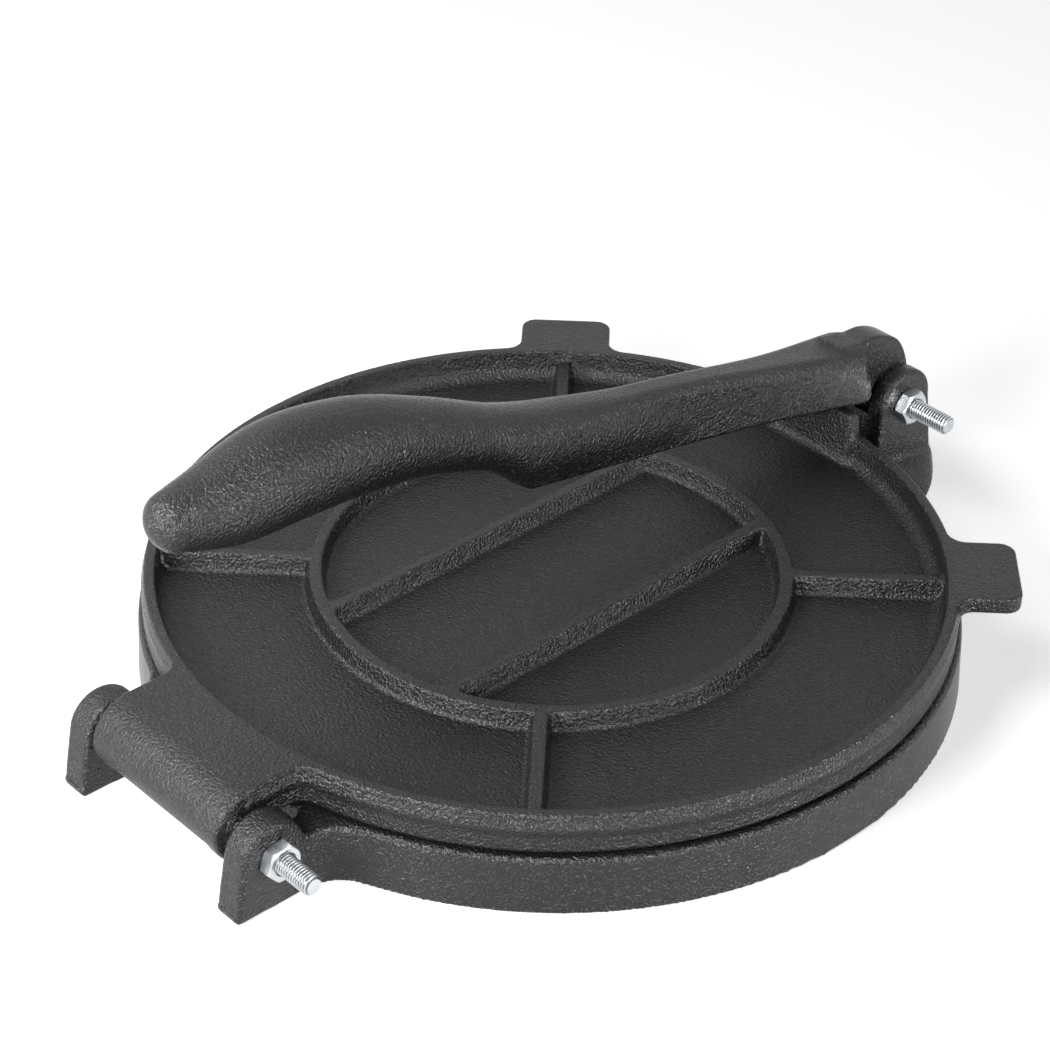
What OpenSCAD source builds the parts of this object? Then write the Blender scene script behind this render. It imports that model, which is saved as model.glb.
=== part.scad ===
// Cast iron tortilla press: a base plate, an upper plate hinged at the back,
// and a lever pinned at the front, held by two bolts with hex nuts.
// +Z is up and z = 0 is the table. +Y runs from the plate hinge to the lever pivot,
// and +X runs along both bolts towards their nuts. The origin is on the table, at
// the middle of the press's bounding box.

/* [Plates] */
// Radius of the upper plate at the top of its rim
plate_r = 152.5; // [148:0.5:156]
// How far the base plate stands out past the upper plate, at the level where they meet
base_lip = 2.8; // [1:0.1:5]
// How much wider each plate is at its foot than at its top, from the mould's draft
draft = 1.2; // [0.4:0.1:1.5]
// Height of the base plate
base_h = 23; // [20:0.5:26]
// Thickness of the base plate's pressing disc
disc_t = 6; // [4:0.5:8]
// Thickness of the skirt around the base plate
skirt_t = 6; // [4:0.5:8]
// Gap between the closed pressing faces
face_gap = 0.6; // [0.4:0.1:1]
// Height of the upper plate from its pressing face to the top of its rim
upper_h = 16; // [13:0.5:18]
// Thickness of the upper plate's pressing disc
floor_t = 5.4; // [4:0.2:7]
// Thickness of the upper plate's rim
rim_t = 4.2; // [3:0.2:6]

/* [Ribs] */
// Middle radius of the ring rib
ring_r = 88.7; // [80:0.1:95]
// Thickness of every rib
rib_t = 4; // [3:0.1:6]
// How far the ribs' tops lie below the rim's top
rib_drop = 4.4; // [2:0.1:6]
// Distance of each straight rib inside the ring from the middle
rib_x = 33; // [25:0.5:45]
// Height left free under the ribs on the base plate's underside
base_rib_lift = 6; // [3:0.5:12]

/* [Thumb tabs] */
// Distance of a thumb tab's outer edge from the plates' axis
tab_reach = 175.5; // [165:0.5:180]
// Width of a thumb tab
tab_w = 35.2; // [25:0.2:45]
// Thickness of a thumb tab
tab_t = 6.2; // [4:0.2:8]
// Radius of a thumb tab's corners
tab_corner = 6; // [3:0.5:9]

/* [Plate hinge] */
// Distance of the plate hinge from the plates' axis
hinge_y = 172; // [170:0.1:176]
// Width of the upper plate's hinge arm
arm_w = 71.6; // [60:0.2:72]
// Outer radius of the rolled end of the hinge arm
roll_r = 14.6; // [13.8:0.1:15.5]
// Wall thickness of the rolled end
roll_t = 5.6; // [4:0.1:6]
// Thickness of the arm's end bosses, along the bolt
boss_w = 7; // [5:0.5:10]
// Gap between a hinge ear and the arm
ear_gap = 2.8; // [1:0.1:3]
// Height of the plate hinge
hinge_z = 21.5; // [21:0.1:23.5]
// Thickness of a hinge ear
ear_w = 12.2; // [10:0.1:16]
// Radius of a hinge ear around the bolt
ear_r = 13.4; // [12:0.1:14]
// Distance of the hinge ears' toes from the plates' axis
ear_reach = 189.5; // [188:0.5:194]

/* [Lever pivot] */
// Distance of the lever pivot from the plates' axis
pivot_y = 184.4; // [182:0.1:187]
// Height of the lever pivot
pivot_z = 38; // [36:0.1:41]
// Radius of a lever ear around the bolt
lug_r = 14.8; // [13:0.1:15]
// Thickness of a lever ear
lug_w = 8.2; // [6:0.1:10]
// Distance of the front lug's toe from the plates' axis
lug_reach = 209.5; // [206:0.5:212]
// Height of the front lug's foot under the ears
lug_foot_h = 17; // [14:0.5:18]
// Half the width of the raised pad under the lever
pad_half_w = 19.5; // [15:0.5:24]
// Height of the raised pad above the table
pad_top = 49.3; // [46:0.1:49.4]

/* [Lever] */
// Thickness of the lever's tongue between its ears
tongue_w = 12.8; // [10:0.1:13]
// Gap between the tongue and a lever ear
tongue_gap = 0.8; // [0.4:0.1:1.2]
// Radius of the tongue around the bolt
tongue_r = 11; // [10:0.5:12]
// Radius of the tongue's rounded shoulder
shoulder_r = 14; // [12:0.5:15]
// Height of the tongue's top above the table
tongue_top = 69.6; // [66:0.2:70]
// Width of the lever's bar at its underside
bar_w = 19; // [16:0.5:22]
// Width of the lever's bar at its top
bar_top_w = 16; // [12:0.5:18]
// Width of the lever's head, over the pad, at its underside
head_w = 28; // [24:0.5:30]
// Depth of the lever's bar
bar_h = 23.5; // [20:0.5:25]
// Largest radius of the grip
grip_r = 18.2; // [16:0.1:19]

/* [Bolts] */
// Thread diameter of both bolts
bolt_d = 8; // [7:0.5:8]
// Diameter of the holes that the bolts pass through
hole_d = 8.1; // [8.06:0.01:8.2]
// Distance across the flats of bolt heads and nuts
hex_af = 13; // [12:0.5:14]
// Thickness of a bolt head
head_t = 5.3; // [4:0.1:6]
// Thickness of a nut
nut_t = 5.3; // [4.8:0.1:7]
// Length of the hinge bolt under its head
hinge_bolt_l = 122; // [118:1:125]
// Length of the lever bolt under its head
lever_bolt_l = 54; // [50:1:60]

/* [Hidden] */
// cast iron, black from its baked oil seasoning, and bright zinc plate
iron = "#2c2c2e";
zinc = "#c9ccce";
// the plates' axis lies off the origin, so that the whole press is centred on it
axis_y = (ear_reach - lug_reach) / 2;
// levels
face_z = base_h + face_gap;
rim_z = face_z + upper_h;
floor_z = face_z + floor_t;
rib_z = rim_z - rib_drop;
// radii
base_r = plate_r + base_lip;
base_foot_r = base_r + draft;
rim_in_r = plate_r - rim_t;
// half the length of a straight rib, whose ends lie in the middle of the ring rib
chord = sqrt(pow(ring_r, 2) - pow(rib_x, 2));
// how far the parts of one casting run into each other
overlap = 1;
// hinge arm: its thickness, and where the web under each side of it ends, in the rim
arm_t = 6.4;
web_in = 147;
// hinge ears
ear_in = arm_w / 2 + ear_gap;
ear_out = ear_in + ear_w;
roll_y = hinge_y - 1;
roll_z = rim_z - roll_r;
// height of the curtain's lower edge, and of the web from each ear to the skirt
curtain_z = 19;
web_z = 20.4;
// corner cut at an ear's toe, and depth of the ears' roots in the skirt
toe = 1.5;
skirt_y = base_foot_r - skirt_t - 3;
// lever ears
lug_in = tongue_w / 2 + tongue_gap;
lug_out = lug_in + lug_w;
// the bar's underside is a straight line that falls towards the pivot, given by its slope
// and one point; it starts at the heel, under the grip, and ends at the head's face
bar_slope = 10.7;
bar_y0 = 67;
bar_z0 = 64.6;
heel_y = -22;
head_start_y = 108;
head_y = 163;
// radius of the head's corner under its face, and how far the tongue runs into the head
corner = 5;
root = 6;
// grip: distance along y, height and radius of the round sections along its middle
grip = [
    [-168, 130, 0.62], [-150, 129.2, 0.86], [-124, 131, 1], [-91, 126.4, 0.92],
    [-64, 118.4, 0.77], [-40, 108.5, 0.67], [-16, 98.2, 0.7]
];
edge_r = 2;
foot_edge = 0.8;
// space that the tongue sweeps in the slot between the lever ears
slot_r = 32;
// how far the front of a lever ear slopes out, down to the foot
lug_slope = 5;
round_fn = 96;
big_fn = 180;

function bar_under(y) = bar_z0 - (y - bar_y0) * tan(bar_slope);

// a profile drawn in y and z, given a thickness w along x and centred on x
module slab(w) {
    translate([-w / 2, 0, 0]) rotate([90, 0, 90]) linear_extrude(w) children();
}

// a bolt's hole or shank along x
module along_x(x0, x1, y, z, d, fn = round_fn) {
    translate([x0, y, z]) rotate([0, 90, 0]) cylinder(h = x1 - x0, d = d, $fn = fn);
}

// a ring about the plates' axis
module ring(r_in, r_out, z0, z1) {
    rotate_extrude($fn = big_fn)
        translate([r_in, z0]) square([r_out - r_in, z1 - z0]);
}

// pressing disc and skirt of the base plate
module base_disc() {
    under = base_h - disc_t;
    rotate_extrude($fn = big_fn) polygon([
        [0, under], [base_foot_r - skirt_t - draft, under], [base_foot_r - skirt_t, 0],
        [base_foot_r - foot_edge, 0], [base_foot_r, foot_edge], [base_r, base_h - edge_r],
        [base_r - edge_r, base_h], [0, base_h]
    ]);
}

// ring rib, two straight ribs inside it, and four spokes from it out to the radius reach
module ribs(z0, z1, reach) {
    ring(ring_r - rib_t / 2, ring_r + rib_t / 2, z0, z1);
    for (a = [0 : 90 : 270]) rotate(a + 45)
        translate([ring_r, -rib_t / 2, z0]) cube([reach - ring_r, rib_t, z1 - z0]);
    for (s = [-1, 1]) translate([s * rib_x - rib_t / 2, -chord, z0])
        cube([rib_t, 2 * chord, z1 - z0]);
}

// side profile of a hinge ear
module ear_profile() {
    translate([-hinge_y, hinge_z]) circle(r = ear_r, $fn = round_fn);
    polygon([
        [-hinge_y - ear_r, hinge_z], [-ear_reach, toe], [-ear_reach + toe, 0],
        [-skirt_y, 0], [-skirt_y, web_z], [-hinge_y + ear_r + toe, web_z],
        [-hinge_y + ear_r, hinge_z]
    ]);
}

// side profile of a lever ear, upright at the back and sloped at the front
module lug_profile() {
    translate([pivot_y, pivot_z]) circle(r = lug_r, $fn = round_fn);
    polygon([
        [pivot_y - lug_r, pivot_z], [pivot_y - lug_r, lug_foot_h / 2],
        [pivot_y + lug_r + lug_slope, lug_foot_h / 2], [pivot_y + lug_r, pivot_z]
    ]);
}

// splayed foot that carries the lever ears: its outline on the table narrows towards the
// toe, and its top is as wide as the ears
module lug_foot() {
    outline = [[45, 143], [33, 183], [23, 199], [12.7, lug_reach]];
    hull() {
        linear_extrude(1) for (s = [-1, 1]) polygon([
            for (p = outline) [s * p[0], p[1]], [0, lug_reach], [0, outline[0][1]]
        ]);
        translate([-lug_out, outline[0][1], lug_foot_h - 1])
            cube([2 * lug_out, pivot_y + lug_r + lug_slope - outline[0][1], 1]);
    }
}

// room between the lever ears for the tongue, open at the front and round at the back
module lever_slot() {
    slab(2 * lug_in) intersection() {
        union() {
            translate([pivot_y, pivot_z]) circle(r = slot_r, $fn = round_fn);
            translate([pivot_y, pivot_z - slot_r]) square(2 * slot_r);
        }
        translate([base_r + draft, 0]) square(3 * slot_r);
    }
}

module base_plate() {
    color(iron) translate([0, axis_y, 0]) difference() {
        union() {
            base_disc();
            ribs(base_rib_lift, base_h - disc_t + overlap, base_r - skirt_t + overlap);
            for (s = [-1, 1]) {
                translate([s * (ear_in + ear_w / 2), 0, 0]) slab(ear_w) ear_profile();
                translate([s * (lug_in + lug_w / 2), 0, 0]) slab(lug_w) lug_profile();
            }
            difference() {
                lug_foot();
                translate([0, 0, -1]) cylinder(h = base_h, r = base_r - skirt_t / 2, $fn = big_fn);
            }
        }
        along_x(-ear_out - 1, ear_out + 1, -hinge_y, hinge_z, hole_d);
        along_x(-lug_out - 1, lug_out + 1, pivot_y, pivot_z, hole_d);
        lever_slot();
    }
}

// pressing disc and rim of the upper plate
module upper_disc() {
    foot_r = plate_r + draft;
    soft = edge_r / 2;
    rotate_extrude($fn = big_fn) polygon([
        [0, face_z], [foot_r - edge_r, face_z], [foot_r, face_z + edge_r],
        [plate_r, rim_z - soft], [plate_r - soft, rim_z], [rim_in_r + soft, rim_z],
        [rim_in_r, rim_z - soft], [rim_in_r - draft, floor_z + 3],
        [rim_in_r - draft - 3, floor_z], [0, floor_z]
    ]);
}

// one thumb tab, drawn along +Y
module thumb_tab() {
    tab_l = tab_reach - rim_in_r - overlap;
    translate([0, tab_reach - tab_l, rim_z - tab_t]) linear_extrude(tab_t) {
        for (s = [-1, 1]) translate([s * (tab_w / 2 - tab_corner), tab_l - tab_corner])
            circle(r = tab_corner, $fn = 48);
        translate([-tab_w / 2, 0]) square([tab_w, tab_l - tab_corner]);
        translate([-tab_w / 2 + tab_corner, 0]) square([tab_w - 2 * tab_corner, tab_l]);
    }
}

// raised pad on the rim, that the lever's head bears on
module pad() {
    slab(2 * pad_half_w) polygon([
        [144, floor_z - 1], [145.4, pad_top], [151.6, pad_top - 1.3], [152, floor_z - 1]
    ]);
}

// rolled end of the hinge arm: a pipe open below, closed by a boss and a web at each end
module hinge_arm() {
    past = roll_r + overlap;
    slab(arm_w) difference() {
        union() {
            translate([-roll_y, rim_z - arm_t]) square([roll_y - web_in, arm_t]);
            translate([-roll_y, roll_z]) circle(r = roll_r, $fn = round_fn);
        }
        translate([-roll_y, roll_z]) circle(r = roll_r - roll_t, $fn = round_fn);
        translate([-roll_y - past, roll_z - past]) square([2 * past, past - roll_z + curtain_z]);
        translate([-roll_y, roll_z - roll_r]) square([past, 2 * roll_r - arm_t]);
    }
    for (s = [-1, 1]) translate([s * (arm_w - boss_w) / 2, 0, 0]) slab(boss_w) {
        translate([-hinge_y, hinge_z]) circle(r = ear_r, $fn = round_fn);
        translate([-hinge_y, face_z]) square([hinge_y - web_in, rim_z - face_z - arm_t / 2]);
    }
}

module upper_plate() {
    color(iron) translate([0, axis_y, 0]) difference() {
        union() {
            upper_disc();
            ribs(floor_z - overlap, rib_z, rim_in_r + overlap);
            for (a = [-45, 45]) rotate(a) thumb_tab();
            pad();
            hinge_arm();
        }
        along_x(-arm_w / 2 - 1, arm_w / 2 + 1, -hinge_y, hinge_z, hole_d);
    }
}

// side profile of the bar, from the heel to the head
module bar_profile() {
    polygon([
        [heel_y, bar_under(heel_y)], [head_y - corner, bar_under(head_y - corner)],
        [head_y - corner / 3, bar_under(head_y) + corner / 3],
        [head_y, bar_under(head_y) + corner], [head_y, bar_under(head_y) + bar_h - 2],
        [head_y - 4, bar_under(head_y) + bar_h], [heel_y, bar_under(heel_y) + bar_h + 2],
        [heel_y - 8, bar_under(heel_y) + bar_h - 2], [heel_y - 8, bar_under(heel_y) + 9]
    ]);
}

// cross-section of the bar, narrower at its top from the mould's draft, widened by splay
module bar_section(splay) {
    bottom = bar_w / 2 + splay;
    top = bar_top_w / 2 + splay;
    polygon([
        [-bottom, -1], [bottom, -1], [top, bar_h - 3], [top - 3, bar_h + 4],
        [3 - top, bar_h + 4], [-top, bar_h - 3]
    ]);
}

// the bar, cut to its side profile and splayed out at the head
module bar() {
    splay_y = head_start_y - bar_y0;
    intersection() {
        slab(2 * head_w) bar_profile();
        translate([0, bar_y0, bar_z0]) rotate([-bar_slope, 0, 0]) {
            translate([0, splay_y, 0]) rotate([90, 0, 0])
                linear_extrude(head_start_y - heel_y + 20) bar_section(0);
            hull() for (e = [[splay_y, 0], [head_y - bar_y0 + 5, (head_w - bar_w) / 2]])
                translate([0, e[0], 0]) rotate([90, 0, 0]) linear_extrude(0.1) bar_section(e[1]);
        }
    }
}

// side profile of the tongue, that turns on the lever bolt and rises to a rounded shoulder
module tongue_profile() {
    shoulder_y = pivot_y + tongue_r - shoulder_r;
    translate([pivot_y, pivot_z]) circle(r = tongue_r, $fn = round_fn);
    translate([shoulder_y, tongue_top - shoulder_r]) circle(r = shoulder_r, $fn = round_fn);
    polygon([
        [pivot_y + tongue_r, pivot_z], [pivot_y + tongue_r, tongue_top - shoulder_r],
        [shoulder_y, tongue_top], [head_y - root, tongue_top],
        [head_y - root, bar_under(head_y) + root], [pivot_y - root, pivot_z - tongue_r + 2],
        [pivot_y, pivot_z]
    ]);
}

module grip_body() {
    for (i = [0 : len(grip) - 2]) hull() for (g = [grip[i], grip[i + 1]])
        translate([0, g[0], g[1]]) sphere(r = g[2] * grip_r, $fn = 32);
}

module lever() {
    color(iron) translate([0, axis_y, 0]) difference() {
        union() {
            bar();
            slab(tongue_w) tongue_profile();
            grip_body();
        }
        along_x(-tongue_w, tongue_w, pivot_y, pivot_z, hole_d);
    }
}

// a hexagon of thickness t along +X, with its corners turned off on the far side
module hexagon(t) {
    corner_d = hex_af / cos(30);
    rotate([0, 90, 0]) intersection() {
        rotate(30) cylinder(h = t, d = corner_d, $fn = 6);
        rotate_extrude($fn = round_fn) polygon([
            [0, 0], [corner_d / 2, 0], [corner_d / 2, t - 1], [hex_af / 2 - 0.2, t], [0, t]
        ]);
    }
}

// a bolt along +X whose head bears on an ear's face at x = seat
module bolt(seat, l, y, z) {
    chamfer = 1;
    color(zinc) translate([seat, axis_y + y, z]) {
        mirror([1, 0, 0]) hexagon(head_t);
        rotate([0, 90, 0]) cylinder(h = l - chamfer, d = bolt_d, $fn = round_fn);
        translate([l - chamfer, 0, 0]) rotate([0, 90, 0])
            cylinder(h = chamfer, d1 = bolt_d, d2 = bolt_d - 2 * chamfer, $fn = round_fn);
    }
}

module nut(seat, y, z) {
    translate([seat, axis_y + y, z]) difference() {
        hexagon(nut_t);
        along_x(-1, nut_t + 1, 0, 0, hole_d);
    }
}

module hinge_bolt() {
    bolt(-ear_out, hinge_bolt_l, -hinge_y, hinge_z);
}

module lever_bolt() {
    bolt(-lug_out, lever_bolt_l, pivot_y, pivot_z);
}

module hex_nuts() {
    color(zinc) {
        nut(ear_out, -hinge_y, hinge_z);
        nut(lug_out, pivot_y, pivot_z);
    }
}

base_plate();
upper_plate();
lever();
hinge_bolt();
lever_bolt();
hex_nuts();
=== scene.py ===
# %% [markdown]
# # A cast iron tortilla press
# The press is three iron castings and two plated bolts. The base plate stands on the table.
# The upper plate is hinged to it on one side, and the lever is pinned to it on the other side
# and leans over the upper plate, so that pulling the grip down squeezes the two plates.
#
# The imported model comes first. It says where every casting and bolt is and how it moves, so
# each piece made here goes where the frame has it, in metres, with nothing to fit by hand.

import math

import bpy
import numpy as np
from mathutils import Matrix, Vector


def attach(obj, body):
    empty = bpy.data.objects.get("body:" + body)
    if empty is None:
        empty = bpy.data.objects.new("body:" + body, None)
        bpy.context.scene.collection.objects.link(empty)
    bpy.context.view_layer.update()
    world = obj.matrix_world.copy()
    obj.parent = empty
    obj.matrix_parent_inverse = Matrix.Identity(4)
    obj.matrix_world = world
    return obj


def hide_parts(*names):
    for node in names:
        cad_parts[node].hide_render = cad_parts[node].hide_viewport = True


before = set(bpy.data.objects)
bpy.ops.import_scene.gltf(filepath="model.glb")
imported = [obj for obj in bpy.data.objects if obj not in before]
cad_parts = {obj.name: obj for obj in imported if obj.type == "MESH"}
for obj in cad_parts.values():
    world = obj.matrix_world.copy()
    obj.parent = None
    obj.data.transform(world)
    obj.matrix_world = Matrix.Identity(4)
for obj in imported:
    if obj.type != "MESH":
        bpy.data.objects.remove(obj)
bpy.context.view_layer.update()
print("castings and bolts in the frame:", ", ".join(sorted(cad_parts)))

# %% [markdown]
# ## The workshop's units
# A casting is drawn in millimetres from the plates' own axis, with y towards the lever pivot.
# The frame's origin is the middle of the whole press, which lies a little off that axis, so
# each finished skin is moved by that much and scaled to metres once, at the end.

# %% Units and the plates' axis
MM = 0.001
AXIS_Y = -10.0


def lies_at(points):
    """Millimetres from the plates' axis to metres in the frame: shift along y, then scale."""
    return (np.asarray(points, float) + [0, AXIS_Y, 0]) * MM


# %% [markdown]
# ## How a casting gets its shape
# Sand casting rounds everything: liquid iron can't fill a sharp corner of the mould, so every
# edge is softened and every inside corner is a fillet. A rib, a rim and a floor run into each
# other as one skin. Separate grids for the rim, ribs and floor would meet in hard lines, and
# a bevel on their union breaks where three fillets meet. So a casting is described by its
# distance field instead: a function of x, y and z that is negative in the iron, zero on its
# skin and positive outside. Two fields join with a fillet by one formula, and the skin is
# then read off a grid of samples, all of it with whole arrays.

# %% Joining and cutting with rounded corners
def joined(a, b, r):
    """Both solids as one, with a fillet of radius r between them: near the corner, where
    both distances are below r, r less the length of what each distance lacks to reach r."""
    return np.maximum(r, np.minimum(a, b)) - np.hypot(np.maximum(r - a, 0), np.maximum(r - b, 0))


def shared(a, b, r):
    """What two solids have in common, its edge rounded to r: the same formula, inside out."""
    return np.minimum(-r, np.maximum(a, b)) + np.hypot(np.maximum(r + a, 0), np.maximum(r + b, 0))


def cut(a, b, r):
    """Solid a with b taken away, the new edges rounded to r."""
    return shared(a, -b, r)


def between(u, low, high):
    """Distance to the slab between two levels: how far u is from the middle, less half."""
    return np.abs(u - (low + high) / 2) - (high - low) / 2


def rectangle(u, v, corner):
    """A rectangle with round corners, from the distances u and v to its two pairs of sides."""
    u, v = u + corner, v + corner
    return np.hypot(np.maximum(u, 0), np.maximum(v, 0)) + np.minimum(np.maximum(u, v), 0) - corner


def outline(u, v, corners, r):
    """A convex outline, its corners listed anticlockwise: the largest of the distances to
    the lines along its edges, with every corner rounded to r."""
    solid = None
    for (u0, v0), (u1, v1) in zip(corners, corners[1:] + corners[:1]):
        side = ((u - u0) * (v1 - v0) - (v - v0) * (u1 - u0)) / math.hypot(u1 - u0, v1 - v0)
        solid = side if solid is None else shared(solid, side, r)
    return solid


corner_distance = joined(np.float64(1), np.float64(1), 3)
print("1 mm from both walls of a corner with a 3 mm fillet, the iron is",
      round(float(corner_distance), 3), "mm away")

# %% [markdown]
# ## From a distance field to a skin
# The field is sampled on a box of points. Wherever a little cell has corners both inside and
# outside the iron, it gets one vertex, at the mean of the places where the skin crosses the
# cell's edges. Each sample edge that the skin crosses gives one quad through its four cells.
# Every vertex then slides along the field's slope until it lies exactly on the skin. The
# slope is also the skin's true direction there, and it is stored as the vertex normal, so the
# large flats stay flat to the eye although they are drawn with few, large triangles.

# %% The skin of a field
def slope(field, p, h=0.04):
    """The field's rate of change along x, y and z at each point, from samples h either side."""
    found = np.empty_like(p)
    for axis in range(3):
        ahead, behind = p.copy(), p.copy()
        ahead[:, axis] += h
        behind[:, axis] -= h
        found[:, axis] = (field(*ahead.T) - field(*behind.T)) / (2 * h)
    return found


def settle(field, p, rounds, most):
    """Moves points onto the skin: against the slope, by the distance over the slope's
    length, a few times over and never more than `most` at once."""
    for _ in range(rounds):
        g = slope(field, p)
        step = field(*p.T) / np.maximum((g ** 2).sum(1), 0.05)
        move = g * step[:, None]
        length = np.maximum(np.linalg.norm(move, axis=1), 1e-9)
        p = p - move * np.minimum(1, most / length)[:, None]
    return p


def skin(field, low, high, step):
    """Vertices and quads of the skin of a field inside a box, by the rule told above."""
    lines = [np.arange(a - 1.5 * s, b + 2.5 * s, s) for a, b, s in zip(low, high, step)]
    x, y, z = (v.astype(np.float32) for v in lines)
    value = field(x[:, None, None], y[None, :, None], z[None, None, :]).astype(np.float32)
    inside = value < 0
    shape = np.array(inside.shape) - 1
    corners = [(i, j, k) for i in (0, 1) for j in (0, 1) for k in (0, 1)]
    count = np.zeros(shape, np.int8)
    for i, j, k in corners:
        count += inside[i:shape[0] + i, j:shape[1] + j, k:shape[2] + k]
    cell = np.argwhere((count > 0) & (count < 8))
    number = np.full(shape, -1, np.int64)
    number[tuple(cell.T)] = np.arange(len(cell))
    at = {c: value[tuple((cell + c).T)] for c in corners}
    total, crossings = np.zeros((len(cell), 3)), np.zeros(len(cell))
    for a in corners:
        for axis in range(3):
            if a[axis] == 0:
                b = tuple(c + (n == axis) for n, c in enumerate(a))
                crossed = (at[a] < 0) != (at[b] < 0)
                share = at[a] / np.where(crossed, at[a] - at[b], 1)
                place = np.tile(np.array(a, float), (len(cell), 1))
                place[:, axis] += share
                total += place * crossed[:, None]
                crossings += crossed
    points = (cell + total / crossings[:, None]) * step + [v[0] for v in lines]
    quads = []
    for axis in range(3):
        one, two = [n for n in range(3) if n != axis]
        ahead = [slice(None)] * 3
        ahead[axis] = slice(1, None)
        behind = [slice(None)] * 3
        behind[axis] = slice(None, -1)
        edge = np.argwhere(inside[tuple(ahead)] != inside[tuple(behind)])
        leaving = inside[tuple(edge.T)]
        ring = []
        for back_one, back_two in ((1, 1), (0, 1), (0, 0), (1, 0)):
            near = edge.copy()
            near[:, one] -= back_one
            near[:, two] -= back_two
            ring.append(number[tuple(near.T)])
        quad = np.stack(ring, 1)
        flip = leaving == (axis == 1)
        quad[flip] = quad[flip][:, ::-1]
        quads.append(quad)
    return settle(field, points, 3, 0.5 * min(step)), np.concatenate(quads)


# %% Put a skin into a mesh
MOST_TRIANGLES = 190000


def mesh_of(name, points, faces):
    """A Blender mesh from whole arrays: vertex places, then the corners of its faces, which
    all have the same number of sides."""
    mesh = bpy.data.meshes.new(name)
    sides = faces.shape[1]
    mesh.vertices.add(len(points))
    mesh.vertices.foreach_set("co", np.ascontiguousarray(points, np.float32).ravel())
    mesh.loops.add(faces.size)
    mesh.loops.foreach_set("vertex_index", np.ascontiguousarray(faces, np.int32).ravel())
    mesh.polygons.add(len(faces))
    mesh.polygons.foreach_set("loop_start", np.arange(0, faces.size, sides, dtype=np.int32))
    mesh.update(calc_edges=True)
    mesh.validate()
    mesh.shade_smooth()
    return mesh


def casting(name, field, low, high, step):
    """A finished casting: its skin, thinned where it is flat, settled onto the field again
    and given the field's own directions as normals."""
    points, quads = skin(field, low, high, step)
    rough = mesh_of(name + "_rough", points * MM, quads)
    piece = bpy.data.objects.new(name, rough)
    bpy.context.collection.objects.link(piece)
    triangles = 2 * len(quads)
    if triangles > MOST_TRIANGLES:
        thin = piece.modifiers.new("thin", "DECIMATE")
        thin.ratio = MOST_TRIANGLES / triangles
        bpy.context.view_layer.update()
        thinned = piece.evaluated_get(bpy.context.evaluated_depsgraph_get())
        mesh = bpy.data.meshes.new_from_object(thinned)
        piece.modifiers.remove(thin)
    else:
        mesh = rough
    co = np.empty(len(mesh.vertices) * 3, np.float32)
    mesh.vertices.foreach_get("co", co)
    points = settle(field, co.reshape(-1, 3) / MM, 2, 0.2)
    normals = slope(field, points)
    normals /= np.linalg.norm(normals, axis=1)[:, None]
    mesh.vertices.foreach_set("co", lies_at(points).astype(np.float32).ravel())
    mesh.update()
    mesh.shade_smooth()
    mesh.normals_split_custom_set_from_vertices(normals)
    piece.data = mesh
    mesh.name = name
    print(name, len(mesh.vertices), "vertices", len(mesh.polygons), "faces")
    return piece


# %% [markdown]
# ## The upper plate
# Seen from above it is a shallow dish: a pressing disc 4 mm thick with a rim around it. A ring
# rib, two straight ribs and four spokes stiffen it, because the lever presses on one side
# only. Two thumb tabs lift it, a pad takes the lever's head, and an arm with a rolled end
# hooks over the hinge bolt. The dish is a cylinder with a round-bottomed pocket cut from it.
# The ribs are drawn in plan first, where their corners get fillets, and then given their
# height, so that their tops stay level where they meet.

# %% Measures that both plates share
PLATE_R = 152.5
DRAFT = 1.2
RING_R = 88.7
RIB_T = 4.8
RIB_X = 33.0
HINGE_Y, HINGE_Z = -172.0, 21.5
PIVOT_Y, PIVOT_Z = 184.4, 38.0
HOLE_R = 4.05
DIAGONAL = math.sqrt(0.5)
RIB_FILLET = 3.0


def rib_plan(x, y, reach, rim):
    """Ring, straight ribs and spokes from above: each is the distance to its middle line
    less half a rib, and the three are joined with fillets. Spokes run along the diagonals
    from the ring into the rim, and the straight ribs lie inside the ring. Where one ends
    inside another its distance grows half as fast again, so no fillet shows on the far side."""
    fast = 1.5
    ring = np.abs(reach - RING_R) - RIB_T / 2
    straight = np.maximum(np.abs(x - RIB_X) - RIB_T / 2, (reach - RING_R) * fast)
    spoke = np.abs(x - np.abs(y)) * DIAGONAL - RIB_T / 2
    spoke = np.maximum(np.maximum(spoke, (RING_R - reach) * fast), (reach - rim - 1.4) * fast)
    return joined(joined(ring, straight, RIB_FILLET), spoke, RIB_FILLET)


def drilled(body, y, z, at_y, at_z):
    """The body less a bolt hole along x: the distance to the hole's middle line less its
    radius, cut away with a slightly softened edge."""
    return cut(body, np.hypot(y - at_y, z - at_z) - HOLE_R, 0.4)


print("plates", 2 * PLATE_R, "mm across, bolts", PIVOT_Y - HINGE_Y, "mm apart")


# %% The upper plate's field
FACE_Z, RIM_Z, FLOOR_Z = 23.8, 39.6, 28.0
RIM_IN_R = PLATE_R - 4.2
RIB_Z = RIM_Z - 4.4
EDGE = 1.0
LEDGE_T = 6.8
TAB_HALF, TAB_END = 18.7, 175.5
ARM_HALF, ARM_EDGE = 35.8, 1.8
BOSS_T = 7.0
ROLL_Y, ROLL_Z, ROLL_R, ROLL_T = -171.0, 25.0, 14.6, 5.6
CURTAIN_Z = 19.0
PAD_TOP, PAD_HALF = 49.3, 18.6


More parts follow.
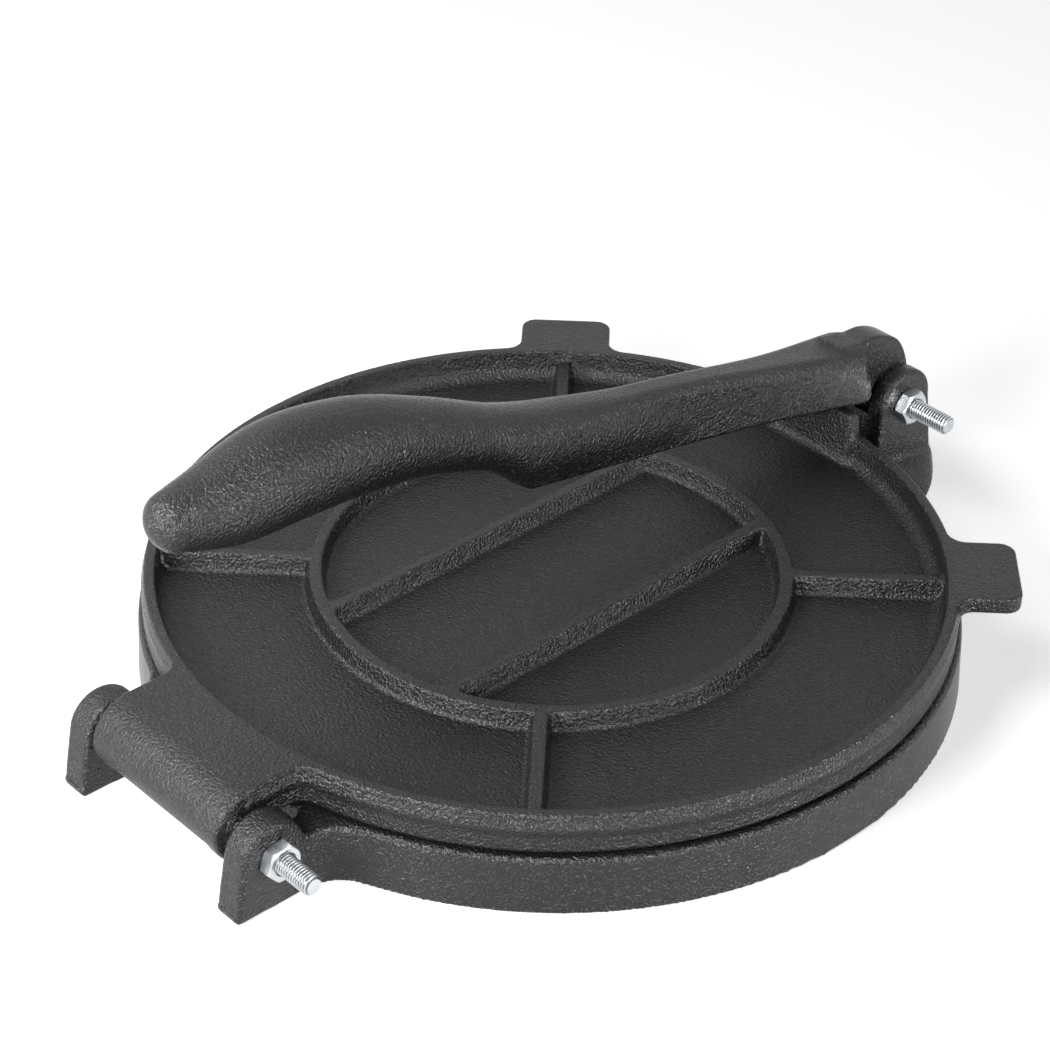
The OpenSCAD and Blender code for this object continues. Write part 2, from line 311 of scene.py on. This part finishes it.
def hinge_arm(x, y, z):
    """The arm's side view is a thick line: level with the rim, then round the bolt and down
    to the curtain's edge. Its width along x gives it round ends, and the last 7 mm at each
    end are filled in, which makes the bosses that carry the bolt."""
    level = rectangle(between(y, ROLL_Y, -146), between(z, RIM_Z - LEDGE_T, RIM_Z), 0)
    round_bolt = np.hypot(y - ROLL_Y, z - ROLL_Z)
    roll = np.abs(round_bolt - ROLL_R + ROLL_T / 2) - ROLL_T / 2
    roll = shared(np.maximum(roll, y - ROLL_Y), CURTAIN_Z - z, 2.0)
    arm = shared(np.minimum(level, roll), x - ARM_HALF, ARM_EDGE)
    closed = rectangle(between(y, ROLL_Y, -147), between(z, FACE_Z, RIM_Z), 0)
    closed = np.minimum(closed, round_bolt - ROLL_R)
    return np.minimum(arm, shared(closed, between(x, ARM_HALF - BOSS_T, ARM_HALF), ARM_EDGE))


def upper_plate(x, y, z):
    """The whole upper plate: dish, tabs, pad, arm and ribs, less its bolt hole."""
    x = np.abs(x)
    reach = np.hypot(x, y)
    lean = DRAFT * (RIM_Z - z) / (RIM_Z - FACE_Z)
    wall = reach - PLATE_R - lean
    web = rectangle(between(x, ARM_HALF - BOSS_T, ARM_HALF), between(y, HINGE_Y, -140), 0)
    edge = np.where(z > FLOOR_Z, EDGE, 2.0)
    dish = shared(joined(wall, web, 5.0), between(z, FACE_Z, RIM_Z), edge)
    along, across = (x + y) * DIAGONAL, (x - y) * DIAGONAL
    tab = rectangle(between(along, 130, TAB_END), np.abs(across) - TAB_HALF, 6.0)
    arm = rectangle(x - ARM_HALF, between(y, ROLL_Y, -140), 0)
    plan = joined(joined(wall, tab, 6.0), arm, 5.0)
    ledge = shared(plan, between(z, RIM_Z - LEDGE_T, RIM_Z), EDGE)
    body = joined(dish, ledge, np.clip((38 - z) * 0.8, 0.01, 2.5))
    body = np.minimum(body, hinge_arm(x, y, z))
    pocket = shared(reach - RIM_IN_R + lean, FLOOR_Z - z, 5.0)
    body = cut(body, pocket, 0.8)
    pad = outline(y, z, [(143, FLOOR_Z - 1), (152.2, FLOOR_Z - 1), (151.6, PAD_TOP - 1.3),
                         (145.4, PAD_TOP)], 1.0)
    pad = shared(pad, (x - PAD_HALF - 0.1 * (PAD_TOP - z)) * 0.995, 1.6)
    body = joined(body, pad, 3.0 * np.clip((151 - y) / 3, 0.01, 1))
    rib = rib_plan(x, y, reach, RIM_IN_R) - 0.22 * (RIB_Z - z)
    rib = np.maximum(shared(rib, z - RIB_Z, 0.6), FLOOR_Z - 1.2 - z)
    body = joined(body, rib, 1.4)
    return drilled(body, y, z, HINGE_Y, HINGE_Z)


upper = casting("upper_plate_casting", upper_plate,
                (-156, -188, 7), (156, 156, 50), (1.05, 1.05, 1))

# %% [markdown]
# ## The base plate
# The base is the same dish turned over, with a flat pressing face on top and ribs hidden
# underneath. Two hinge ears grow out of its wall on one side. On the other side a splayed
# foot carries two thin ears for the lever. In plan the ears and the wall share one outline
# with wide fillets, and the side view of an ear then trims it in height.

# %% The base plate's field
BASE_R = PLATE_R + 2.8
BASE_H = 22.8
UNDER_Z, UNDER_R = 17.0, 150.5
UNDER_RIB_Z = 6.0
EAR_IN, EAR_OUT = 38.6, 50.8
EAR_R, EAR_TOE_Y = 13.4, -189.5
WEB_Z = 20.4
LUG_IN, LUG_OUT = 7.2, 15.4
LUG_R = 14.8
FOOT_H = 17.0
SLOT_R, SLOT_BACK_Y = 32.0, 156.5


def hinge_ears(x, y, z, wall):
    """Plan and side view, each with its own fillets. In plan an ear runs into the wall. From
    the side it is round about the bolt, with a front that goes straight down to the toe, and
    a web behind it that starts low and rises to the level of the pressing face."""
    middle = (EAR_IN + EAR_OUT) / 2
    plan = rectangle(between(x, EAR_IN, EAR_OUT), between(y, EAR_TOE_Y, -140), 2.0)
    plan = joined(wall, plan, np.where(x > middle, 11.0, 5.0))
    lean = math.radians(10.9)
    touch_y, touch_z = HINGE_Y - EAR_R * math.cos(lean), HINGE_Z + EAR_R * math.sin(lean)
    stem = outline(y, z, [(-188.6, 0), (HINGE_Y, 0), (HINGE_Y, touch_z), (touch_y, touch_z),
                          (EAR_TOE_Y, 1.2)], 0.4)
    about_bolt = np.hypot(y - HINGE_Y, z - HINGE_Z) - EAR_R
    web = z - WEB_Z - (BASE_H - WEB_Z) * np.clip((y + 163) / 11, 0, 1)
    side = joined(np.minimum(about_bolt, stem), np.maximum(web, HINGE_Y - y), 5.0)
    return shared(plan, side, np.where(z > 3, 2.2, 1.0))


def lever_ears(x, y, z):
    """Two thin ears, round about the bolt, on a foot whose sides and front are sloping
    planes: the foot's edges on the table narrow towards its toe. Inside, the ears start too
    thick, and the slot takes the rest away."""
    side = np.hypot(y - PIVOT_Y, z - PIVOT_Z) - LUG_R
    stem = outline(y, z, [(PIVOT_Y - LUG_R, 8), (PIVOT_Y + LUG_R + 5, 8),
                          (PIVOT_Y + LUG_R, PIVOT_Z), (PIVOT_Y - LUG_R, PIVOT_Z)], 0.5)
    ears = shared(np.minimum(side, stem), between(x, LUG_IN - 2.5, LUG_OUT), 1.7)
    rise = z / FOOT_H
    foot = z - FOOT_H
    for (x0, y0), (x1, y1), (tx, ty) in (
        ((45, 143), (33, 183), (LUG_OUT, 160)),
        ((33, 183), (23, 199), (LUG_OUT, 196)),
        ((23, 199), (12.7, 209.5), (LUG_OUT, 203.4)),
        ((12.7, 209.5), (-12.7, 209.5), (0, 203.4)),
    ):
        length = math.hypot(x1 - x0, y1 - y0)
        nx, ny = (y1 - y0) / length, (x0 - x1) / length
        inward = (tx - x0) * nx + (ty - y0) * ny
        lean = math.hypot(1, inward / FOOT_H)
        foot = shared(foot, ((x - x0) * nx + (y - y0) * ny - inward * rise) / lean, 1.6)
    foot = np.maximum(foot, 140 - y)
    return shared(joined(ears, foot, 1.8), -z, 0.8)


def base_plate(x, y, z):
    """The whole base: dish, ears and foot, hollow below, ribs, slot and bolt holes."""
    x = np.abs(x)
    reach = np.hypot(x, y)
    wall = reach - BASE_R - DRAFT * (BASE_H - z) / BASE_H
    dish = shared(wall, between(z, 0, BASE_H), np.where(z > BASE_H / 2, 2.0, 0.8))
    body = np.minimum(dish, hinge_ears(x, y, z, wall))
    body = joined(body, lever_ears(x, y, z), 3.0)
    hollow = shared(reach - UNDER_R + DRAFT * z / UNDER_Z, z - UNDER_Z, 4.0)
    body = cut(body, hollow, 1.0)
    rib = rib_plan(x, y, reach, UNDER_R - 1) - 0.06 * (z - UNDER_RIB_Z)
    rib = np.maximum(shared(rib, UNDER_RIB_Z - z, 0.9), z - UNDER_Z - 1.2)
    body = joined(body, rib, RIB_FILLET)
    slot = np.minimum(np.hypot(y - PIVOT_Y, z - PIVOT_Z) - SLOT_R,
                      np.maximum(PIVOT_Y - y, PIVOT_Z - SLOT_R - z))
    slot = np.maximum(slot, SLOT_BACK_Y - y)
    body = cut(body, np.maximum(slot, x - LUG_IN), 1.6)
    body = drilled(body, y, z, HINGE_Y, HINGE_Z)
    body = drilled(body, y, z, PIVOT_Y, PIVOT_Z)
    return np.maximum(body, -z)


base = casting("base_plate_casting", base_plate, (-158, -191, 0), (158, 211, 54), (1.15, 1.15, 1))

# %% [markdown]
# ## The lever
# The lever is one casting too. A straight bar with slightly leaning sides widens to a head
# over the pad, and a thin tongue runs from the head down between the ears to the bolt. At the
# other end the bar grows into a grip that is round everywhere, thickest where the palm
# pushes, and it leaves a small heel under the place where they meet. The grip is a circle
# carried along a curve: its radius and the curve's height are smooth functions of y. Its
# field joins the bar's with a wide fillet, which is what makes the neck.

# %% A smooth curve through a few chosen points
def smooth(places, values, u):
    """A cubic curve through the values: each piece leaves and arrives with the mean slope
    of its neighbours, and the first and last slopes go on past the ends."""
    places, values = np.array(places, float), np.array(values, float)
    slopes = np.gradient(values, places)
    i = np.clip(np.searchsorted(places, u) - 1, 0, len(places) - 2)
    width = places[i + 1] - places[i]
    t = np.clip((u - places[i]) / width, 0, 1)
    level = values[i] * (1 + 2 * t) * (1 - t) ** 2 + values[i + 1] * t * t * (3 - 2 * t)
    bend = width * t * (1 - t) * (slopes[i] * (1 - t) - slopes[i + 1] * t)
    beyond = np.minimum(u - places[0], 0) * slopes[0] + np.maximum(u - places[-1], 0) * slopes[-1]
    return level + bend + beyond


# %% The lever's field
BAR_SLOPE = math.radians(10.7)
BAR_Y, BAR_Z = 67.0, 64.6
BAR_H = 22.5
HEAD_Y, HEAD_Z = 162.8, 67.6
TONGUE_Y, TONGUE_TOP = 195.5, 70.2
TONGUE_R, TONGUE_HALF = 11.0, 6.4
GRIP_Y = [-179.3, -174.5, -168, -158.5, -150, -125, -100, -64, -37, -17, 5, 30]
GRIP_Z = [130, 130, 129.8, 129.2, 129, 130.8, 128.3, 118.3, 107, 98, 91.5, 84]
GRIP_R = [0, 9.2, 11.3, 13.6, 15.6, 18.2, 17.5, 14, 12.2, 12.2, 10.4, 8]


def grip(x, y, z):
    """A circle carried along a curve. From a point, the foot on the curve lies where the
    curve's slope says. The field is the squared distance from it less the squared radius,
    over twice the radius, which also closes the tip where the radius goes to nothing."""
    height = smooth(GRIP_Y, GRIP_Z, y)
    lean = (smooth(GRIP_Y, GRIP_Z, y + 0.5) - height) * 2
    foot = y + (z - height) * lean / (1 + lean ** 2)
    square = (y - foot) ** 2 + (z - smooth(GRIP_Y, GRIP_Z, foot)) ** 2
    radius = smooth(GRIP_Y, np.square(GRIP_R), foot)
    return (x ** 2 + square - radius) / (2 * np.sqrt(np.maximum(radius, 0) + 20))


def bar(x, y, z):
    """Side view and cross-section: along and up are measured from the bar's own underside.
    The sides lean in towards a round-shouldered top, both splay out over the last third to
    the head, and the head's end leans a little from the mould's draft."""
    up = (y - BAR_Y) * math.sin(BAR_SLOPE) + (z - BAR_Z) * math.cos(BAR_SLOPE)
    along = (y - BAR_Y) * math.cos(BAR_SLOPE) - (z - BAR_Z) * math.sin(BAR_SLOPE)
    depth = smooth([-90, -5, 10, 33, 60, 96], [25.2, 25.2, 24.6, 23.3, BAR_H, BAR_H], along)
    splay = smooth([-90, 30, 45, 80, 110], [0, 0, 0.6, 3.6, 6], along)
    half = 9.5 + splay - 1.6 * up / BAR_H
    side = shared(shared(-up, y - HEAD_Y - (HEAD_Z - z) * 0.08, 4.5), up - depth, 1.8)
    side = shared(side, -(along + 90) * 0.8 - up * 0.6, 3.0)
    return shared(side, (x - half) * 0.998, np.where(up > BAR_H / 2, 4.6, 1.8))


def tongue(x, y, z):
    """Side view of the tongue: round about the bolt, a shoulder above it made of a level top,
    a slanting corner and an upright front with their edges rounded off, and a straight back
    that slants from the head's underside down to the bolt. The corner and the back each face
    along a direction of length 1, given by its y and z."""
    corner_y, corner_z = 0.741, 0.672
    back_y, back_z = 0.719, 0.695
    about_bolt = np.hypot(y - PIVOT_Y, z - PIVOT_Z) - TONGUE_R
    corner = (y - 183) * corner_y + (z - 68.2) * corner_z
    top = z - TONGUE_TOP + (y - 170) * 0.04
    back = -(y - 178.4) * back_y - (z - 29.0) * back_z
    rise = shared(shared(shared(y - TONGUE_Y, corner, 8.0), top, 8.0), back, 3.0)
    rise = np.maximum(rise, 154 - y)
    below = np.minimum(PIVOT_Z - z, (y - PIVOT_Y) * back_z - (z - PIVOT_Z) * back_y)
    return shared(np.minimum(about_bolt, np.maximum(rise, below)), x - TONGUE_HALF, 1.8)


def lever_iron(x, y, z):
    """The whole lever: bar joined to the grip by a wide fillet and to the tongue by a small
    one, less its bolt hole."""
    x = np.abs(x)
    body = joined(bar(x, y, z), grip(x, y, z), 9.0)
    body = joined(body, tongue(x, y, z), 4.5)
    return drilled(body, y, z, PIVOT_Y, PIVOT_Z)


lever = casting("lever_casting", lever_iron, (-19, -181, 26), (19, 197, 150), (0.95, 0.95, 0.95))

# %% [markdown]
# ## Bolts and nuts
# Ordinary M8 bolts with thin hex nuts hold the press together. Each bolt is one surface
# turned about its own line: the profile runs from the middle of the head, over its face,
# down the flats, in to the shank and along the thread to the end. The radius also depends on
# the turning angle, which is what makes six flats, the arcs where the head's corners are
# turned off, and the thread's winding groove.

# %% A surface turned about the bolt's line
AROUND = 96
HEX_AF = 13.0
PITCH = 1.25
turn = np.arange(AROUND) * (2 * math.pi / AROUND)


def turned(name, along, radius, at, roll, closed, groove_shade=None):
    """Grid of profile steps by turning angles: x is the place along the bolt, and y and z
    are the radius times the angle's cosine and sine. The profile's two ends are points on
    the middle line, or meet each other when the profile is closed. How deep a thread's
    groove is, 0 to 1 at each grid point, is kept on the mesh, and the finish paints shade
    into the grooves with it."""
    angle = turn[None, :] + roll
    along = np.broadcast_to(along, radius.shape)
    grid = np.stack([along, radius * np.cos(angle), radius * np.sin(angle)], 2)
    rows = len(grid)
    index = np.arange(rows * AROUND).reshape(rows, AROUND)
    after = np.roll(index, -1, axis=1)
    low, low_after, high, high_after = index[:-1], after[:-1], index[1:], after[1:]
    if closed:
        low, low_after = index, after
        high, high_after = np.roll(index, -1, axis=0), np.roll(after, -1, axis=0)
    quads = np.stack([low, high, high_after, low_after], 2).reshape(-1, 4)
    triangles = np.concatenate([quads[:, [0, 1, 2]], quads[:, [0, 2, 3]]])
    points = grid.reshape(-1, 3)
    if not closed:
        first, last = rows * AROUND, rows * AROUND + 1
        ends = np.array([[along[0, 0], 0, 0], [along[-1, 0], 0, 0]])
        points = np.concatenate([points, ends])
        caps = [np.stack([np.full(AROUND, first), index[0], after[0]], 1),
                np.stack([np.full(AROUND, last), after[-1], index[-1]], 1)]
        triangles = np.concatenate([triangles] + caps)
    mesh = mesh_of(name, lies_at(points + at), triangles)
    mesh.set_sharp_from_angle(angle=math.radians(28))
    if groove_shade is not None:
        layer = mesh.attributes.new("thread_groove_shade", "FLOAT", "POINT")
        layer.data.foreach_set("value", np.append(groove_shade.ravel(), [0.0, 0.0]).astype(np.float32))
    piece = bpy.data.objects.new(name, mesh)
    bpy.context.collection.objects.link(piece)
    print(name, len(mesh.vertices), "vertices", len(mesh.polygons), "faces")
    return piece


def flats():
    """Radius of a hexagon at each turning angle: half across the flats over the cosine of
    the angle from the nearest flat's middle."""
    sixth = math.pi / 3
    return HEX_AF / 2 / np.cos((turn + sixth / 2) % sixth - sixth / 2)


def hexagon(depth):
    """Radius of a hex whose corners are turned off: the smaller of the flats and a cone that
    opens by 30 degrees from a circle just inside the flats, at each depth under the face."""
    cone = HEX_AF / 2 - 0.25 + depth[:, None] / math.tan(math.radians(30))
    return np.minimum(flats()[None, :], cone)


# %% One bolt
HEAD_T = 5.3
BOLT_R = 4.0
POINT_R = BOLT_R - 1.1
GROOVE = 0.72
corner = np.array([0, 0.06, 0.15, 0.25, 0.4, 0.6, 0.85, 1.2])


def bolt(name, seat, length, y, z, thread, roll):
    """Head, shank, thread and point along +x from the ear's face at seat: the thread's
    radius swings with a triangle wave of its pitch, shifted by the turning angle, and it
    fades in over its first turn and a half and is cut by the point's cone."""
    face = hexagon(corner)
    head = np.concatenate([face[:1] * 0.5, face, flats()[None, :], np.full((1, AROUND), BOLT_R)])
    head_x = np.concatenate([[-HEAD_T], corner - HEAD_T, [0.0, 0.0]])
    x = np.arange(length - thread, length, PITCH / 8)
    wave = np.abs(((x[:, None] / PITCH - turn[None, :] / (2 * math.pi)) % 1) * 2 - 1)
    fade = np.clip((x - x[0]) / PITCH / 1.5, 0, 1)[:, None]
    depth = np.clip(wave * 1.25 - 0.12, 0, 1) * fade
    wound = np.minimum(BOLT_R - GROOVE * depth, POINT_R + (length - x)[:, None])
    end = np.full((2, AROUND), 1.0) * np.array([[POINT_R], [1.2]])
    radius = np.concatenate([head, wound, end])
    place = np.concatenate([head_x, x, [length, length]])[:, None]
    # the groove's depth at each grid point, with which the finish paints shade into the thread's
    # grooves
    groove_shade = np.concatenate([np.zeros_like(head), depth, np.zeros_like(end)])
    return turned(name, place, radius, [seat, y, z], roll, False, groove_shade)


hinge_bolt = bolt("hinge_bolt_and_head", -EAR_OUT, 122.0, HINGE_Y, HINGE_Z, 30.0, 0.3)
lever_bolt = bolt("lever_bolt_and_head", -LUG_OUT, 54.0, PIVOT_Y, PIVOT_Z, 30.0, 0.2)

# %% One nut
NUT_T = 5.3


def nut(name, seat, y, z, roll):
    """A ring with a closed profile: out over the first face, along the flats, back over the
    second face and through the hole, which opens a little at both faces. Both faces have
    their corners turned off."""
    shape = np.concatenate([hexagon(corner), hexagon(corner)[::-1]])
    shape_x = np.concatenate([corner, NUT_T - corner[::-1]])
    mouth = 0.6
    hole = np.array([HOLE_R + mouth, HOLE_R, HOLE_R, HOLE_R + mouth])
    hole = hole[:, None] * np.ones((1, AROUND))
    hole_x = np.array([NUT_T, NUT_T - mouth, mouth, 0.0])
    radius = np.concatenate([shape, hole])
    place = np.concatenate([shape_x, hole_x])[:, None]
    return turned(name, place, radius, [seat, y, z], roll, True)


hinge_nut = nut("hinge_nut", EAR_OUT, HINGE_Y, HINGE_Z, math.radians(100))
lever_nut = nut("lever_nut", LUG_OUT, PIVOT_Y, PIVOT_Z, math.radians(88))

# %% [markdown]
# ## Sums of node sockets
# A finish is a small calculation on the surface: noise plus noise, times a mask. Nodes for it
# read best as an expression. So a socket is wrapped in a class that knows +, - and *, from
# either side, and one method makes any other node, its settings first and then its sockets.
# The studio's world is a node tree as well, so the same class builds it.

# %% A finish and its values
class Value:
    """A node's output that can stand in a sum. Each operator adds one Math node."""

    def __init__(self, finish, socket):
        self.finish, self.socket = finish, socket

    def sum(self, operation, a, b):
        return self.finish.node("ShaderNodeMath", {"operation": operation}, {0: a, 1: b})

    def __add__(self, other):
        return self.sum("ADD", self, other)

    def __rsub__(self, other):
        return self.sum("SUBTRACT", other, self)

    def __mul__(self, other):
        return self.sum("MULTIPLY", self, other)

    __radd__, __rmul__ = __add__, __mul__


class Finish:
    """The node tree of a material or a world, under construction."""

    def __init__(self, owner):
        self.owner = owner
        owner.use_nodes = True
        self.tree = owner.node_tree
        self.tree.nodes.clear()

    def node(self, kind, settings, sockets, out=0):
        """Makes one node: settings are set first, then each socket gets a number, a colour
        or a Value's link."""
        node = self.tree.nodes.new(kind)
        for key, value in settings.items():
            setattr(node, key, value)
        for key, value in sockets.items():
            if isinstance(value, Value):
                self.tree.links.new(value.socket, node.inputs[key])
            else:
                node.inputs[key].default_value = value
        return Value(self, node.outputs[out])

    def noise(self, place, scale, detail):
        """Cloudy noise on the object's own coordinates, scale in lumps per metre."""
        return self.node("ShaderNodeTexNoise", {"noise_dimensions": "3D"},
                         {"Vector": place, "Scale": scale, "Detail": detail})

    def place(self):
        return self.node("ShaderNodeTexCoord", {}, {}, "Object")

    def mix(self, share, first, second):
        """From the first colour to the second as the share goes from 0 to 1."""
        return self.node("ShaderNodeMix", {"data_type": "RGBA"},
                         {"Factor": share, 6: first, 7: second}, 2)

    def done(self, shader, output="ShaderNodeOutputMaterial"):
        """Links the shader to the tree's output and hands back the finished owner."""
        self.tree.links.new(shader.socket, self.tree.nodes.new(output).inputs["Surface"])
        return self.owner


# %% [markdown]
# ## Seasoned cast iron
# The castings keep the print of the sand: pebbles about a millimetre wide over the whole
# skin. Oil baked onto them turns the iron nearly black, with a low sheen that is a little
# glossier on the pebbles' tops than between them. The pebbles catch the light as small
# sparks on walls that face it. Noise of two sizes gives the pebbles, a broad noise gives the
# slow waves of the mould, and all three are only a bump, because they are finer than the
# skin's own faces. A still broader noise clouds the colour and the gloss a little.

# %% The iron's finish
PEBBLE_HEIGHT = 0.0009
OILED_BLACK, WORN_BLACK = (0.007, 0.007, 0.0074, 1), (0.024, 0.024, 0.025, 1)


def seasoned_iron():
    """Base colour near black, bump from three noises, roughness that follows the pebbles."""
    f = Finish(bpy.data.materials.new("seasoned_cast_iron"))
    place = f.place()
    pebbles = f.noise(place, 900.0, 2.0)
    grit = f.noise(place, 2100.0, 1.0)
    waves = f.noise(place, 70.0, 1.0)
    clouds = f.noise(place, 18.0, 3.0)
    height = pebbles + grit * 0.3 + waves * 0.3
    normal = f.node("ShaderNodeBump", {},
                    {"Strength": 1.0, "Distance": PEBBLE_HEIGHT, "Height": height})
    colour = f.mix(clouds * 0.6 + pebbles * 0.5, OILED_BLACK, WORN_BLACK)
    rough = 0.3 - pebbles * 0.14 + clouds * 0.04
    shader = f.node("ShaderNodeBsdfPrincipled", {}, {
        "Base Color": colour, "Roughness": rough, "Metallic": 0.0, "IOR": 1.5,
        "Specular IOR Level": 0.35, "Normal": normal})
    return f.done(shader)


iron = seasoned_iron()
print(iron.name, "with", len(iron.node_tree.nodes), "nodes")

# %% [markdown]
# ## Bright zinc
# The bolts and nuts are steel with a thin bright zinc plate. It is a metal, so nearly all of
# what is seen is reflection. The plate is slightly uneven, which a fine noise gives to the
# roughness, and its white is a little blue. Shade is painted dark into the thread's grooves,
# by their depth, so that the turns read as dark lines.

# %% The zinc's finish
DULL_ZINC, CLEAN_ZINC = (0.46, 0.48, 0.50, 1), (0.66, 0.68, 0.70, 1)
# painted shade for the thread's grooves, near black
THREAD_GROOVE_SHADE = (0.03, 0.03, 0.032, 1)


def bright_zinc():
    """A metal with a pale colour, a roughness that wanders, a very fine bump, and shade
    painted dark where the thread is deep."""
    f = Finish(bpy.data.materials.new("bright_zinc_plate"))
    place = f.place()
    cloud = f.noise(place, 260.0, 3.0)
    grain = f.noise(place, 2200.0, 2.0)
    normal = f.node("ShaderNodeBump", {}, {"Strength": 0.25, "Distance": 0.0002, "Height": grain})
    # the thread groove's depth, which paints shade into the grooves
    groove_shade = f.node("ShaderNodeAttribute", {"attribute_name": "thread_groove_shade"}, {}, "Fac")
    colour = f.mix(groove_shade * 0.9, f.mix(cloud, DULL_ZINC, CLEAN_ZINC), THREAD_GROOVE_SHADE)
    shader = f.node("ShaderNodeBsdfPrincipled", {}, {
        "Base Color": colour, "Roughness": 0.2 + cloud * 0.2, "Metallic": 1.0, "Normal": normal})
    return f.done(shader)


zinc = bright_zinc()
print(zinc.name, "with", len(zinc.node_tree.nodes), "nodes")

# %% [markdown]
# ## Which body carries what
# The press has three moving bodies: the base, the upper plate and the lever. The bolts and
# nuts are tight in the base's ears, so they stay with the base when the lever is thrown back
# and the upper plate opens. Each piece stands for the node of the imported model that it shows
# in more detail, and the two nuts stand for one node, because they are alike.

# %% Give the pieces their finish and their bodies
for piece, body, slot, finish, node in (
    (base, "base", "seasoned_iron", iron, "base_plate"),
    (upper, "upper", "seasoned_iron", iron, "upper_plate"),
    (lever, "press_lever", "seasoned_iron", iron, "lever"),
    (hinge_bolt, "base", "zinc_plate", zinc, "hinge_bolt"),
    (lever_bolt, "base", "zinc_plate", zinc, "lever_bolt"),
    (hinge_nut, "base", "zinc_plate", zinc, "hex_nuts"),
    (lever_nut, "base", "zinc_plate", zinc, "hex_nuts"),
):
    piece.data.materials.append(finish)
    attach(piece, body)
    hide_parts(node)
    print(piece.name, "rides on", body)

# %% [markdown]
# ## Floor, light and camera
# The press stands on a white table before a white wall. A black object on white needs soft
# light from above for its flats and one stronger lamp low on the hinge side, which rakes
# over the walls and shows their grain. The sparks on the walls, the rolled hinge and the
# grip's tip come from three more lamps. Each stands where the camera sees it mirrored in that
# place, and is for sheen only, because as real light it would bleach the table. The floor is
# white to the camera by a little glow of its own, and the rest of its white is real light,
# so the press still throws a shadow.

# %% Floor and world
FLOOR_HALF = 9.0
TABLE_WHITE, WALL_WHITE = (0.8, 0.8, 0.8, 1), (1, 1, 1, 1)
SOFT_LIGHT, SOFT_STRENGTH = (0.9, 0.93, 1.0, 1), 0.05


def in_view(f):
    """1 for a ray that comes from the camera, or reaches it by a mirror or through glass."""
    seen, mirrored, through = (
        f.node("ShaderNodeLightPath", {}, {}, f"Is {ray} Ray")
        for ray in ("Camera", "Glossy", "Transmission"))
    return seen + mirrored + through


def floor_finish():
    """Diffuse white, plus a glow that only those rays see."""
    f = Finish(bpy.data.materials.new("table_white"))
    glow = f.node("ShaderNodeEmission", {}, {"Strength": in_view(f) * 0.7})
    matt = f.node("ShaderNodeBsdfDiffuse", {}, {"Color": TABLE_WHITE})
    return f.done(f.node("ShaderNodeAddShader", {}, {0: glow, 1: matt}))


def studio_world():
    """Plain white to those rays, and a weak soft light to all others."""
    f = Finish(bpy.data.worlds.new("studio"))
    soft = f.node("ShaderNodeBackground", {}, {"Color": SOFT_LIGHT, "Strength": SOFT_STRENGTH})
    white = f.node("ShaderNodeBackground", {}, {"Color": WALL_WHITE, "Strength": 1.0})
    both = f.node("ShaderNodeMixShader", {}, {0: in_view(f), 1: soft, 2: white})
    return f.done(both, "ShaderNodeOutputWorld")


square = np.array([[-1, -1, 0], [1, -1, 0], [1, 1, 0], [-1, 1, 0]])
floor = bpy.data.objects.new(
    "floor", mesh_of("floor", square * FLOOR_HALF, np.array([[0, 1, 2, 3]])))
bpy.context.collection.objects.link(floor)
floor.data.materials.append(floor_finish())
bpy.context.scene.world = studio_world()
print("floor", 2 * FLOOR_HALF, "m wide under a white studio")


# %% Lamps
def lamp(name, azimuth, elevation, distance, size, watts, sheen_only=False):
    """A square soft lamp that looks at the press. Its place is given as a photographer would:
    degrees round from +x, degrees up from the table, and how far away. A lamp for sheen only
    is seen in what shines and adds no light to matt surfaces."""
    data = bpy.data.lights.new(name, "AREA")
    data.size, data.energy = size, watts
    lamp_object = bpy.data.objects.new(name, data)
    bpy.context.collection.objects.link(lamp_object)
    lamp_object.visible_diffuse = not sheen_only
    round_by, up_by = math.radians(azimuth), math.radians(elevation)
    toward = Vector((math.cos(up_by) * math.cos(round_by), math.cos(up_by) * math.sin(round_by),
                     math.sin(up_by)))
    lamp_object.location = toward * distance
    lamp_object.rotation_euler = (-toward).to_track_quat("-Z", "Y").to_euler()
    print(name, watts, "W")


lamp("wall_lamp", azimuth=-82, elevation=28, distance=1.0, size=0.3, watts=7.5)
lamp("top_lamp", azimuth=-145, elevation=62, distance=0.9, size=0.45, watts=3.2)
for place, azimuth, elevation, distance, size, watts in (
    ("wall", -82, 24, 1.0, 0.4, 15),
    ("hinge", -135, 33, 1.0, 0.25, 5),
    ("grip", 8, 12, 1.3, 0.3, 26),
):
    lamp(place + "_sheen", azimuth, elevation, distance, size, watts, sheen_only=True)
bpy.context.scene.view_settings.view_transform = "Standard"


# %% Camera
def camera_at(place, target, roll, lens):
    """A camera that looks from place to target, turned about its own line by roll."""
    data = bpy.data.cameras.new("camera")
    data.lens, data.sensor_width = lens, 36.0
    data.clip_start, data.clip_end = 0.05, 20.0
    eye = bpy.data.objects.new("camera", data)
    bpy.context.collection.objects.link(eye)
    back = (Vector(place) - Vector(target)).normalized()
    right = Vector((0, 0, 1)).cross(back).normalized()
    up = back.cross(right)
    turned_right = right * math.cos(roll) + up * math.sin(roll)
    turned_up = up * math.cos(roll) - right * math.sin(roll)
    pose = Matrix((turned_right, turned_up, back)).transposed().to_4x4()
    pose.translation = Vector(place)
    eye.matrix_world = pose
    bpy.context.scene.camera = eye
    print("camera", round((Vector(place) - Vector(target)).length, 3), "m away, lens", lens, "mm")


CAMERA_PLACE, TABLE_POINT = (0.6212, -0.6034, 0.6373), (-0.0629, 0.0349, 0.0)
camera_at(CAMERA_PLACE, TABLE_POINT, math.radians(1.09), 95.37)
